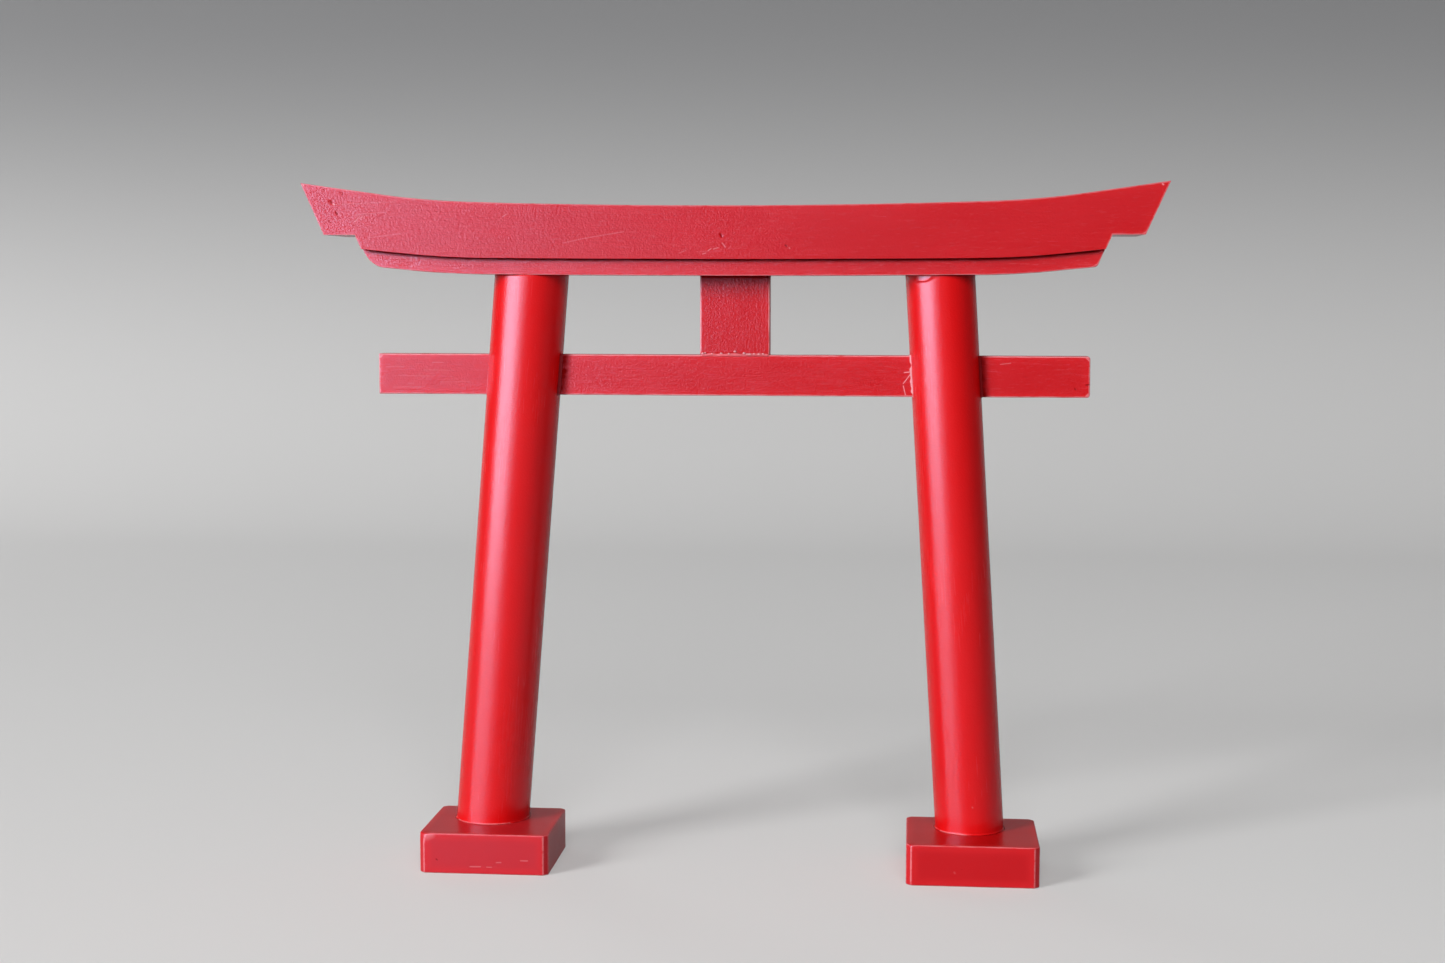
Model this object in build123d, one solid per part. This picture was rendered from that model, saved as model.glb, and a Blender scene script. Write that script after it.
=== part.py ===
from build123d import *
from dataclasses import dataclass
from math import asin, degrees, radians, tan
import os

# A painted wooden model of a torii gate: two leaning round posts on block feet carry a flat tie beam,
# a short strut and a two-part lintel whose ends sweep up.
# Millimetres, +Z up, +X to the right of someone facing the gate, -Y towards that person.
# The origin is on the table, under the middle of the gate's overall box.

# Block feet
foot_block_width = 46.0
foot_block_depth = 40.4
foot_block_height = 14.4
foot_block_corner_chamfer = 1.7
foot_block_top_round = 0.5
foot_block_bottom_round = 0.3
foot_block_front_reach = 26.8  # from the posts' plane forward to the blocks' front faces
left_foot_block_x = -85.0
right_foot_block_x = 86.2

# Round posts: each leans inwards, and the left one is a little stouter than the right one
left_post_diameter = 26.2
left_post_foot_x = -86.6
left_post_head_x = -71.1
right_post_diameter = 24.3
right_post_foot_x = 85.6
right_post_head_x = 73.2
tenon_diameter = 12.0
foot_tenon_length = 9.0
head_tenon_length = 14.0
tenon_clearance = 0.1

# Nuki: the flat tie beam that runs through a mortise in each post
nuki_length = 251.4
nuki_depth = 6.0
nuki_height = 14.4
nuki_underside = 168.0
nuki_centre_x = -0.4
nuki_corner_round = 1.0
nuki_edge_round = 0.5

# Gakuzuka: the short strut between the tie beam and the lintel
gakuzuka_width = 24.6
gakuzuka_depth = 6.0
gakuzuka_centre_x = 1.5
gakuzuka_edge_round = 0.4

# Shimaki: the lower strip of the lintel, sawn to a shallow curve that rises at both ends
lintel_underside = 210.1
shimaki_thickness = 5.7
shimaki_depth = 26.4
shimaki_edge_round = 0.5
shimaki_left_corner_round = 4.5
shimaki_right_corner_round = 0.8
lower_middle_radius = 10000.0
lower_bend_start = 86.0
lower_bend_radius = 300.0
lower_end_slope = 5.7  # degrees

# Kasagi: the top beam, flush over its stepped height, with its tips cut to a rake
kasagi_length = 300.3
kasagi_depth = 31.0
kasagi_middle_height = 18.4
kasagi_step_length = 262.0  # between the inner steps, at the tips' underside
kasagi_tip_rise = 14.0  # from the lintel's underside up to the tips' level underside
kasagi_edge_round = 0.5
upper_middle_radius = 3000.0
upper_bend_start = 90.0
upper_bend_radius = 300.0
upper_end_slope = 8.0  # degrees
end_rake = 24.0  # degrees from upright

# How far a cutting shape reaches past what it cuts
cut_overrun = 30.0

# Places that follow from the sizes above
back_reach = max(kasagi_depth / 2, foot_block_depth - foot_block_front_reach)
post_plane_y = (foot_block_front_reach - back_reach) / 2
foot_block_y = post_plane_y - foot_block_front_reach + foot_block_depth / 2
nuki_top = nuki_underside + nuki_height
shimaki_top = lintel_underside + shimaki_thickness
kasagi_middle_top = shimaki_top + kasagi_middle_height
tip_underside = lintel_underside + kasagi_tip_rise


@dataclass
class PostLine:
    """One post's thickness and the two points where its axis meets the block and the lintel."""

    diameter: float
    foot_x: float
    head_x: float

    @property
    def plane(self):
        """Plane square to the post's axis, with its origin on the foot block's top."""
        foot = Vector(self.foot_x, post_plane_y, foot_block_height)
        head = Vector(self.head_x, post_plane_y, lintel_underside)
        return Plane(foot, x_dir=(0, 1, 0), z_dir=head - foot)

    @property
    def length(self):
        """Distance along the axis from the foot to the head."""
        return Vector(self.head_x - self.foot_x, 0, lintel_underside - foot_block_height).length

    def rod(self, diameter, low, high):
        """Round rod on the post's axis, between two heights measured along that axis."""
        return self.plane * Pos(0, 0, (low + high) / 2) * Cylinder(diameter / 2, high - low)

    def tenons(self, clearance):
        """The rods at the foot and the head, or the sockets for them where a clearance is given."""
        diameter = tenon_diameter + 2 * clearance
        foot = self.rod(diameter, -foot_tenon_length - clearance, tenon_diameter)
        head = self.rod(diameter, self.length - tenon_diameter, self.length + head_tenon_length + clearance)
        return foot, head


left_line = PostLine(left_post_diameter, left_post_foot_x, left_post_head_x)
right_line = PostLine(right_post_diameter, right_post_foot_x, right_post_head_x)


def swept_edge(middle_z, middle_radius, bend_start, bend_radius, end_slope):
    """Right part of a lintel edge: half of a shallow arc, then a tighter bend, up to its straight rise."""
    middle_turn = degrees(asin(bend_start / middle_radius))
    middle = JernArc((0, middle_z), (1, 0), middle_radius, middle_turn)
    bend = JernArc(middle @ 1, middle % 1, bend_radius, end_slope - middle_turn)
    return [middle, bend]


def lower_edge(middle_z):
    """The curve that the shimaki's two long faces and the kasagi's underside share, out to the raked end."""
    edge = swept_edge(
        middle_z, lower_middle_radius, lower_bend_start, lower_bend_radius, lower_end_slope
    )
    start = edge[-1] @ 1
    slope = tan(radians(lower_end_slope))
    run = (raked_end_x(start.Y) - start.X) / (1 - slope * tan(radians(end_rake)))
    return edge + [Line(start, start + Vector(run, run * slope))]


def raked_end_x(z):
    """How far out the inner raked cut lies at a height."""
    return kasagi_step_length / 2 - (tip_underside - z) * tan(radians(end_rake))


def extrude_profile(edges, depth):
    """Solid of a right-hand half profile and its mirror image, centred on the posts' plane."""
    half = make_face(edges)
    whole = half + mirror(half, Plane.YZ)
    return Pos(0, post_plane_y, 0) * extrude(Plane.XZ * whole, depth / 2, both=True)


def long_edges(solid):
    """Edges round the front and back faces of an extruded profile."""
    faces = solid.faces().sort_by(Axis.Y)
    return faces[0].edges() + faces[-1].edges()


def make_kasagi():
    """Top beam: swept upper edge, raked tips with a level underside, and a raked step in to the shimaki."""
    top = swept_edge(
        kasagi_middle_top, upper_middle_radius, upper_bend_start, upper_bend_radius, upper_end_slope
    )
    rise_start = top[-1] @ 1
    rise_run = kasagi_length / 2 - rise_start.X
    tip = rise_start + Vector(rise_run, rise_run * tan(radians(upper_end_slope)))
    tip_low = Vector(tip.X - (tip.Y - tip_underside) * tan(radians(end_rake)), tip_underside)
    bottom = lower_edge(shimaki_top)
    end = Polyline(rise_start, tip, tip_low, (kasagi_step_length / 2, tip_underside), bottom[-1] @ 1)
    middle = Line((0, shimaki_top), (0, kasagi_middle_top))
    beam = extrude_profile(top + end.edges() + bottom + [middle], kasagi_depth)
    beam = fillet(long_edges(beam), kasagi_edge_round)
    for line in (left_line, right_line):
        beam -= line.tenons(tenon_clearance)[1]
    return beam


def make_shimaki():
    """Lower strip of even thickness, with its ends in line with the kasagi's inner steps."""
    top = lower_edge(shimaki_top)
    bottom = lower_edge(lintel_underside)
    corner = bottom[-1] @ 1
    end = Line(top[-1] @ 1, corner)
    middle = Line((0, lintel_underside), (0, shimaki_top))
    strip = extrude_profile(top + [end] + bottom + [middle], shimaki_depth)
    for side, radius in ((-1, shimaki_left_corner_round), (1, shimaki_right_corner_round)):
        place = (side * corner.X, post_plane_y, corner.Y)
        strip = fillet(strip.edges().filter_by(Axis.Y).sort_by_distance(place)[0], radius)
    strip = fillet(long_edges(strip), shimaki_edge_round)
    for line in (left_line, right_line):
        strip -= line.tenons(tenon_clearance)[1]
    return strip


def make_lintel_space():
    """Everything above the shimaki's underside, for trimming what stands under it."""
    bottom = lower_edge(lintel_underside)
    corner = bottom[-1] @ 1
    roof = lintel_underside + 2 * cut_overrun
    sides = Polyline(corner, (corner.X, roof), (0, roof), (0, lintel_underside))
    depth = max(left_post_diameter, right_post_diameter) + 2 * cut_overrun
    return extrude_profile(bottom + sides.edges(), depth)


def nuki_blank():
    """The tie beam before its edges are eased, which is also the mortise that it fills in each post."""
    place = Pos(nuki_centre_x, post_plane_y, nuki_underside + nuki_height / 2)
    return place * Box(nuki_length, nuki_depth, nuki_height)


def make_nuki():
    """Flat tie beam with rounded end corners and eased edges."""
    blank = nuki_blank()
    bar = fillet(blank.edges().filter_by(Axis.Y), nuki_corner_round)
    return fillet(long_edges(bar), nuki_edge_round)


def make_gakuzuka():
    """Strut that stands on the nuki, flush with its faces, and meets the shimaki's curved underside."""
    height = lintel_underside - nuki_top + cut_overrun
    place = Pos(gakuzuka_centre_x, post_plane_y, nuki_top + height / 2)
    strut = place * Box(gakuzuka_width, gakuzuka_depth, height)
    strut = fillet(strut.edges().filter_by(Axis.Z), gakuzuka_edge_round)
    return strut - make_lintel_space()


def make_post(line):
    """Round post with tenons, cut level on its block and to the lintel's curve, and mortised for the nuki."""
    shaft = line.rod(line.diameter, -cut_overrun, line.length + cut_overrun)
    shaft = split(shaft, bisect_by=Plane.XY.offset(foot_block_height), keep=Keep.TOP)
    shaft -= make_lintel_space()
    for tenon in line.tenons(0):
        shaft += tenon
    return shaft - nuki_blank()


def make_foot_block(centre_x, line):
    """Block with chamfered corners and a blind socket for the post's tenon."""
    place = Pos(centre_x, foot_block_y, foot_block_height / 2)
    block = place * Box(foot_block_width, foot_block_depth, foot_block_height)
    block = chamfer(block.edges().filter_by(Axis.Z), foot_block_corner_chamfer)
    block = fillet(block.edges().group_by(Axis.Z)[-1], foot_block_top_round)
    block = fillet(block.edges().group_by(Axis.Z)[0], foot_block_bottom_round)
    return block - line.tenons(tenon_clearance)[0]


pieces = {
    "kasagi": make_kasagi(),
    "shimaki": make_shimaki(),
    "gakuzuka": make_gakuzuka(),
    "nuki": make_nuki(),
    "left_post": make_post(left_line),
    "right_post": make_post(right_line),
    "left_foot_block": make_foot_block(left_foot_block_x, left_line),
    "right_foot_block": make_foot_block(right_foot_block_x, right_line),
}

os.makedirs("parts", exist_ok=True)
for name, piece in pieces.items():
    export_step(piece, f"parts/{name}.step")
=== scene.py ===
"""A small red painted wooden model of a torii gate, dressed for a studio picture.

Every length is in metres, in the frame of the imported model: +X runs along the lintel to the right of
someone facing the gate, -Y points towards that person and +Z is up.
"""

import logging
from collections.abc import Callable, Iterable
from dataclasses import dataclass, field, replace
from enum import Enum
from math import asin, atan2, ceil, cos, exp, pi, radians, sin, sqrt, tan

import bmesh
import bpy
from mathutils import Matrix, Vector, kdtree, noise


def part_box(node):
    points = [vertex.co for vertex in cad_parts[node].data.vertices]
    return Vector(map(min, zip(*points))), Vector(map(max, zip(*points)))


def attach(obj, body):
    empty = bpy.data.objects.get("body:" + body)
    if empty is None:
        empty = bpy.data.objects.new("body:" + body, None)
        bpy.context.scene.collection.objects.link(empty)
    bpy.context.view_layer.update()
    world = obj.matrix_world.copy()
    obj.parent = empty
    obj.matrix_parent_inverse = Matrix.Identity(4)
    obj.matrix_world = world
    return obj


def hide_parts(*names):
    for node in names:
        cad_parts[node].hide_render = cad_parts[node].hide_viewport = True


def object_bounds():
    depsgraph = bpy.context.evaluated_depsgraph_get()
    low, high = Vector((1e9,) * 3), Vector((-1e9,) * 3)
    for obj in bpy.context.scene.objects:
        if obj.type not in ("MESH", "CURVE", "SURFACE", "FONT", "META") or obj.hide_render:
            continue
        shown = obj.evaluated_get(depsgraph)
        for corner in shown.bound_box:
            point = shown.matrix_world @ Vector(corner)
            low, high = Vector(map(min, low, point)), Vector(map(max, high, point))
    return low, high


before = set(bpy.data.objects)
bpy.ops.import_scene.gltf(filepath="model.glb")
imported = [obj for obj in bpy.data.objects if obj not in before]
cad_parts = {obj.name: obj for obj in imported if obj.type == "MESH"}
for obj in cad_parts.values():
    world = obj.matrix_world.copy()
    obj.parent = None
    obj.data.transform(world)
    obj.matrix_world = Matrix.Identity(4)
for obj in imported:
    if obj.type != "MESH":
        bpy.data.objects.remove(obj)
CAD_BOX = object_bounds()

log = logging.getLogger("torii")

BODY = "root"
MILLIMETRE = 0.001
MERGE_DISTANCE = 1e-6
RIM_ATTRIBUTE = "rim"
ARRIS_STEP = 0.0002
FAR_FROM_ARRIS = 0.05
SHARP_ANGLE = radians(30)
SQUARE_ON = 0.9
ROUND_FLATS = 3
NORMAL_WEIGHT = 60
SEED_PER_METRE = 90.0
MIDDLE = 0.5

Colour = tuple[float, float, float]
Point = tuple[float, float, float]
Range = tuple[float, float]


class Axis(Enum):
    """The three directions of the frame."""

    X = 0
    Y = 1
    Z = 2

    @property
    def unit(self) -> Vector:
        """The axis as a unit vector."""
        return Vector(1.0 if place == self.value else 0.0 for place in range(3))


class LampUse(Enum):
    """What a lamp does: whether it lights matt surfaces, and whether gloss mirrors it."""

    SHADING = (True, False)
    GLOSS = (False, True)

    @property
    def shades(self) -> bool:
        """Whether the lamp lights matt surfaces."""
        return self.value[0]

    @property
    def mirrored(self) -> bool:
        """Whether the lamp shows in glossy surfaces."""
        return self.value[1]


class MarkKind(Enum):
    """How a mark changes the paint: its paleness, and how far it is raised, in metres."""

    SCRATCH = (0.38, -0.00003)
    HAIRLINE = (0.15, -0.00001)
    NICK = (-0.8, -0.00008)
    PIT = (-0.35, -0.00006)
    # The next two kinds are painted shade: they darken the paint and take away its gloss where a shadow
    # falls.
    PAINTED_SHADOW = (-0.95, 0.0)
    PAINTED_SOFT_SHADE = (-0.45, 0.0)
    CHIP = (1.0, -0.00003)
    SANDED = (0.3, 0.0)

    @property
    def paleness(self) -> float:
        """Share of pale undercoat that shows; where it is negative, share of dark matt red, which is soil in
        nicks and pits and painted shade for the two painted-shadow kinds.
        """
        return self.value[0]

    @property
    def rise(self) -> float:
        """Height of the mark's middle over the paint round it."""
        return self.value[1]


@dataclass(frozen=True)
class Mark:
    """A small flaw of the paint, drawn as a short line on a face; the painted-shadow kinds are bands of
    painted shade instead.
    """

    kind: MarkKind
    start: Point
    end: Point
    width: float


@dataclass(frozen=True)
class Dent:
    """A short groove pressed into a front face, with a low burr thrown up along its sides."""

    start: Point
    end: Point
    width: float
    depth: float
    reach_in_widths: float = 3.0
    divided_share: float = 1.4
    cuts: int = 4
    burr_share: float = 0.35
    burr_in_widths: float = 1.5
    burr_sharpness: float = 4.0

    @property
    def reach(self) -> float:
        """How far from its line the dent is felt."""
        return self.width * self.reach_in_widths

    def sink(self, distance: float) -> float:
        """How far the face is pressed in.

        Args:
            distance: Distance from the groove's line.

        Returns:
            The depth there, below zero on the burr.
        """
        share = distance / self.width
        burr = self.burr_share * exp(-(share - self.burr_in_widths) ** 2 * self.burr_sharpness)
        return self.depth * (exp(-share * share) - burr)


@dataclass(frozen=True)
class Unevenness:
    """The slow unevenness that hand sanding leaves on a face."""

    depth: float
    pitch: float
    seed: float


def front_marks(
    kind: MarkKind, face_y: float, width: float, lines: Iterable[tuple[float, ...]]
) -> tuple[Mark, ...]:
    """Marks of one kind on a front face.

    Args:
        kind: What sort of flaw they are.
        face_y: Depth of the face.
        width: Width of each mark.
        lines: X and Z of the start and of the end of each mark, in millimetres.

    Returns:
        The marks, in metres.
    """
    marks = []
    for start_x, start_z, end_x, end_z in lines:
        start = (start_x * MILLIMETRE, face_y, start_z * MILLIMETRE)
        end = (end_x * MILLIMETRE, face_y, end_z * MILLIMETRE)
        marks.append(Mark(kind, start, end, width))
    return tuple(marks)


def distance_to_line(point: Vector, start: Vector, end: Vector) -> float:
    """Distance from a point to the nearest point of a short line.

    Args:
        point: The point.
        start: One end of the line.
        end: Its other end.

    Returns:
        The distance.
    """
    run = end - start
    share = (point - start).dot(run) / run.length_squared
    return (point - start - run * min(1.0, max(0.0, share))).length


def runs_along(edge: bmesh.types.BMEdge, axis: Axis) -> bool:
    """Whether an edge's two ends differ along an axis."""
    start, end = edge.verts
    return abs(start.co[axis.value] - end.co[axis.value]) > MERGE_DISTANCE


def smooth_step(low: float, high: float, value: float) -> float:
    """Eased rise from 0 at low to 1 at high."""
    share = min(1.0, max(0.0, (value - low) / (high - low)))
    return share * share * (3.0 - 2.0 * share)


class Value:
    """A shader value with the arithmetic of plain numbers: each operation adds a Math node."""

    def __init__(self, shader: "Shader", socket: bpy.types.NodeSocket) -> None:
        """Wraps an output socket."""
        self.shader = shader
        self.socket = socket

    def __add__(self, other: "Value | float") -> "Value":
        """Sum of two values."""
        return self.shader.math("ADD", self, other)

    __radd__ = __add__

    def __sub__(self, other: "Value | float") -> "Value":
        """This value less another."""
        return self.shader.math("SUBTRACT", self, other)

    def __rsub__(self, other: float) -> "Value":
        """A number less this value."""
        return self.shader.math("SUBTRACT", other, self)

    def __mul__(self, other: "Value | float") -> "Value":
        """Product of two values."""
        return self.shader.math("MULTIPLY", self, other)

    __rmul__ = __mul__

    def largest(self, other: "Value | float") -> "Value":
        """The larger of two values."""
        return self.shader.math("MAXIMUM", self, other)

    def eased(self, low: float, high: float) -> "Value":
        """Eased rise from 0 where this value is low to 1 where it is high.

        Args:
            low: Value at which the rise starts.
            high: Value at which it ends, below low for a fall.

        Returns:
            The eased value.
        """
        node = self.shader.node(
            "ShaderNodeMapRange",
            {"interpolation_type": "SMOOTHSTEP", "clamp": True},
            {"Value": self, "From Min": low, "From Max": high},
        )
        return Value(self.shader, node.outputs["Result"])


class Shader:
    """A material under construction."""

    def __init__(self, name: str) -> None:
        """Starts an empty material.

        Args:
            name: The material's name.
        """
        self.material = bpy.data.materials.new(name)
        self.material.use_nodes = True
        self.tree = self.material.node_tree
        self.tree.nodes.clear()

    def node(self, kind: str, settings: dict | None = None, inputs: dict | None = None) -> bpy.types.Node:
        """Adds a node.

        Args:
            kind: The node's type.
            settings: Its own settings, set before its sockets.
            inputs: Values or links of its sockets, by name or number.

        Returns:
            The new node.
        """
        made = self.tree.nodes.new(kind)
        for name, setting in (settings or {}).items():
            setattr(made, name, setting)
        for name, value in (inputs or {}).items():
            if isinstance(value, Value):
                value = value.socket
            if isinstance(value, bpy.types.NodeSocket):
                self.tree.links.new(value, made.inputs[name])
            else:
                made.inputs[name].default_value = value
        return made

    def math(self, operation: str, *terms: "Value | float") -> Value:
        """Adds a Math node on up to three values or numbers."""
        made = self.node("ShaderNodeMath", {"operation": operation}, dict(enumerate(terms)))
        return Value(self, made.outputs[0])

    def vector(self, operation: str, *terms: bpy.types.NodeSocket | Point) -> bpy.types.Node:
        """Adds a Vector Math node on vectors."""
        return self.node("ShaderNodeVectorMath", {"operation": operation}, dict(enumerate(terms)))

    def noise(self, place: bpy.types.NodeSocket, detail: float, roughness: float = 0.5) -> Value:
        """Noise that varies about zero.

        Args:
            place: Coordinates, in steps of the pattern.
            detail: Octaves of finer noise.
            roughness: Strength of the finer octaves.

        Returns:
            Noise of about -0.3 to 0.3.
        """
        made = self.node(
            "ShaderNodeTexNoise",
            {"noise_dimensions": "3D"},
            {"Vector": place, "Scale": 1.0, "Detail": detail, "Roughness": roughness},
        )
        return Value(self, made.outputs["Fac"]) - MIDDLE

    def blend(self, share: Value, first: object, second: object) -> bpy.types.NodeSocket:
        """Mixes two colours.

        Args:
            share: Share of the second colour.
            first: Colour or socket at 0.
            second: Colour or socket at 1.

        Returns:
            The mixed colour.
        """
        made = self.node(
            "ShaderNodeMix",
            {"data_type": "RGBA", "clamp_factor": True},
            {"Factor": share, 6: first, 7: second},
        )
        return made.outputs[2]


@dataclass(frozen=True)
class Paint:
    """Satin red paint, brushed over wood along its grain."""

    name: str
    grain: Axis
    lean: float = 0.0
    colour: Colour = (0.46, 0.0032, 0.0038)
    undercoat: Colour = (0.7, 0.24, 0.26)
    # The lighter red near eased edges: partly thinner paint, partly a painted highlight where the edges catch
    # the light.
    thin_edge_light_colour: Colour = (0.62, 0.011, 0.013)
    gloss_tint: Colour = (0.45, 0.74, 1.0)
    roughness: float = 0.25
    ior: float = 1.45
    stroke_width: float = 0.0006
    stroke_length: float = 0.014
    stroke_depth: float = 0.000035
    stroke_shade: float = 0.6
    stroke_gloss: float = 0.06
    fibre_width: float = 0.0003
    fibre_length: float = 0.0035
    fibre_depth: float = 0.000035
    speck_size: float = 0.00035
    speck_depth: float = 0.00003
    pit_widening: float = 2.0
    pore_depth: float = 0.00002
    pore_share: float = 0.12
    pore_range: Range = (0.3, 0.36)
    pore_shade: float = 0.35
    patch_width: float = 0.014
    patch_length: float = 0.028
    patch_shade: float = 0.9
    patch_gloss: float = 0.08
    shade_range: float = 0.07
    # The thin fields set the lighter red towards eased edges: partly thinner paint, partly a painted
    # highlight where the eased faces catch the light.
    thin: float = 0.15
    thin_edge_light_reach: Range = (0.0045, 0.0004)
    thin_edge_light_patches: float = 0.6
    thin_edge_light_full: float = 1.2
    wear: float = 0.5
    rub_width: float = 0.0007
    rub_core_share: float = 0.25
    rub_breaks: float = 1.5
    rub_range: Range = (0.5, 1.05)
    rub_gloss: float = 0.15
    break_length: float = 0.006
    break_width: float = 0.0015
    break_roughness: float = 0.65
    fleck_share: float = 0.08
    fleck_range: Range = (0.1, 0.26)
    # Level of the dark matt red that stands for soil in pores, nicks and pits, and for painted shade.
    soil_and_shade_level: float = 0.36
    mark_core_share: float = 0.15
    mark_breaks: float = 1.2
    marks: tuple[Mark, ...] = ()

    def tint(self, factor: float) -> tuple[float, ...]:
        """The paint's colour, lightened or darkened, with an alpha."""
        return tuple(channel * factor for channel in self.colour) + (1.0,)

    def pattern(
        self,
        shader: Shader,
        place: bpy.types.NodeSocket,
        along: float,
        across: float,
        detail: float,
        roughness: float = 0.5,
    ) -> Value:
        """Noise that is drawn out along the grain.

        Args:
            shader: The material under construction.
            place: Coordinates in metres.
            along: Length of a step along the grain.
            across: Length of a step across it.
            detail: Octaves of finer noise.
            roughness: Strength of the finer octaves.

        Returns:
            Noise of about -0.3 to 0.3.
        """
        steps = tuple(1.0 / (along if axis is self.grain else across) for axis in Axis)
        stretched = shader.vector("MULTIPLY", place, steps).outputs["Vector"]
        return shader.noise(stretched, detail, roughness)

    def mark_mask(self, shader: Shader, place: bpy.types.NodeSocket, mark: Mark) -> Value:
        """How much of a mark shows at a point.

        Args:
            shader: The material under construction.
            place: Coordinates in metres.
            mark: The mark.

        Returns:
            1 on the mark's line, 0 past its width.
        """
        run = Vector(mark.end) - Vector(mark.start)
        offset = shader.vector("SUBTRACT", place, mark.start).outputs["Vector"]
        reach = shader.vector("DOT_PRODUCT", offset, tuple(run / run.length_squared))
        share = shader.node(
            "ShaderNodeClamp", {"clamp_type": "MINMAX"}, {"Value": reach.outputs["Value"]}
        ).outputs["Result"]
        foot = shader.node("ShaderNodeCombineXYZ", {}, {"X": share, "Y": share, "Z": share}).outputs["Vector"]
        foot = shader.vector("MULTIPLY", foot, tuple(run)).outputs["Vector"]
        distance = Value(shader, shader.vector("DISTANCE", offset, foot).outputs["Value"])
        return distance.eased(mark.width, mark.width * self.mark_core_share)

    def material(self) -> bpy.types.Material:
        """Builds the material.

        Returns:
            The finished material.
        """
        shader = Shader(self.name)
        place = shader.node("ShaderNodeTexCoord").outputs["Object"]
        turned = shader.node(
            "ShaderNodeMapping",
            {"vector_type": "POINT"},
            {"Vector": place, "Rotation": (0.0, -self.lean, 0.0)},
        ).outputs["Vector"]
        strokes = self.pattern(shader, turned, self.stroke_length, self.stroke_width, detail=3.0)
        fibres = self.pattern(shader, turned, self.fibre_length, self.fibre_width, detail=2.0)
        specks = self.pattern(shader, turned, self.speck_size, self.speck_size, detail=1.0)
        pit_width = self.fibre_width * self.pit_widening
        pits = self.pattern(shader, turned, self.fibre_length, pit_width, detail=1.0)
        patches = self.pattern(shader, turned, self.patch_length, self.patch_width, detail=2.0)
        breaks = self.pattern(
            shader, turned, self.break_length, self.break_width, detail=3.0, roughness=self.break_roughness
        )

        attribute = shader.node("ShaderNodeAttribute", {"attribute_name": RIM_ATTRIBUTE})
        rim = Value(shader, attribute.outputs["Fac"])
        edge = rim.eased(self.rub_width, self.rub_width * self.rub_core_share)
        rubbed = (edge * (breaks * self.rub_breaks + 1.0)).eased(*self.rub_range) * self.wear
        # A lighter red towards eased edges: partly thinner paint, partly a painted highlight where the edges
        # catch the light.
        thin_and_edge_lit = rim.eased(*self.thin_edge_light_reach) + patches * self.thin_edge_light_patches
        thin_and_edge_lit = thin_and_edge_lit.eased(0.0, self.thin_edge_light_full) * self.thin
        flecks = (pits * -1.0).eased(*self.fleck_range) * self.fleck_share
        pore_start, pore_full = self.pore_range
        pores = pits.eased(pore_start - self.pore_share / 2.0, pore_full)

        pale = rubbed.largest(flecks)
        dark = pores * self.pore_shade
        height = strokes * self.stroke_depth + fibres * self.fibre_depth + specks * self.speck_depth
        height = height - pores * self.pore_depth
        for mark in self.marks:
            mask = self.mark_mask(shader, place, mark) * (breaks * self.mark_breaks + 1.0)
            height = height + mask * mark.kind.rise
            if mark.kind.paleness > 0.0:
                pale = pale.largest(mask * mark.kind.paleness)
            else:
                dark = dark.largest(mask * -mark.kind.paleness)

        shade = strokes * self.stroke_shade + patches * self.patch_shade + MIDDLE
        colour = shader.blend(shade, self.tint(1.0 - self.shade_range), self.tint(1.0 + self.shade_range))
        colour = shader.blend(thin_and_edge_lit, colour, (*self.thin_edge_light_colour, 1.0))
        colour = shader.blend(pale, colour, (*self.undercoat, 1.0))
        rough = strokes * self.stroke_gloss + patches * self.patch_gloss
        rough = rough + rubbed * self.rub_gloss + self.roughness

        bump = shader.node("ShaderNodeBump", {}, {"Height": height, "Distance": 1.0, "Strength": 1.0})
        coat = shader.node(
            "ShaderNodeBsdfPrincipled",
            {},
            {
                "Base Color": colour,
                "Roughness": rough,
                "Normal": bump.outputs["Normal"],
                "IOR": self.ior,
                "Specular Tint": (*self.gloss_tint, 1.0),
            },
        )
        # Where dark is high, the paint gives way to a dark matt red without gloss: soil in pores, nicks and
        # pits, and painted shade under the painted-shadow marks, which takes away the sheen there too.
        soil_and_shade = shader.node(
            "ShaderNodeBsdfPrincipled",
            {},
            {"Base Color": self.tint(self.soil_and_shade_level), "Roughness": 1.0, "Specular IOR Level": 0.0},
        )
        surface = shader.node(
            "ShaderNodeMixShader", {}, {0: dark, 1: coat.outputs["BSDF"], 2: soil_and_shade.outputs["BSDF"]}
        )
        shader.node("ShaderNodeOutputMaterial", {}, {"Surface": surface.outputs["Shader"]})
        return shader.material


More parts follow.
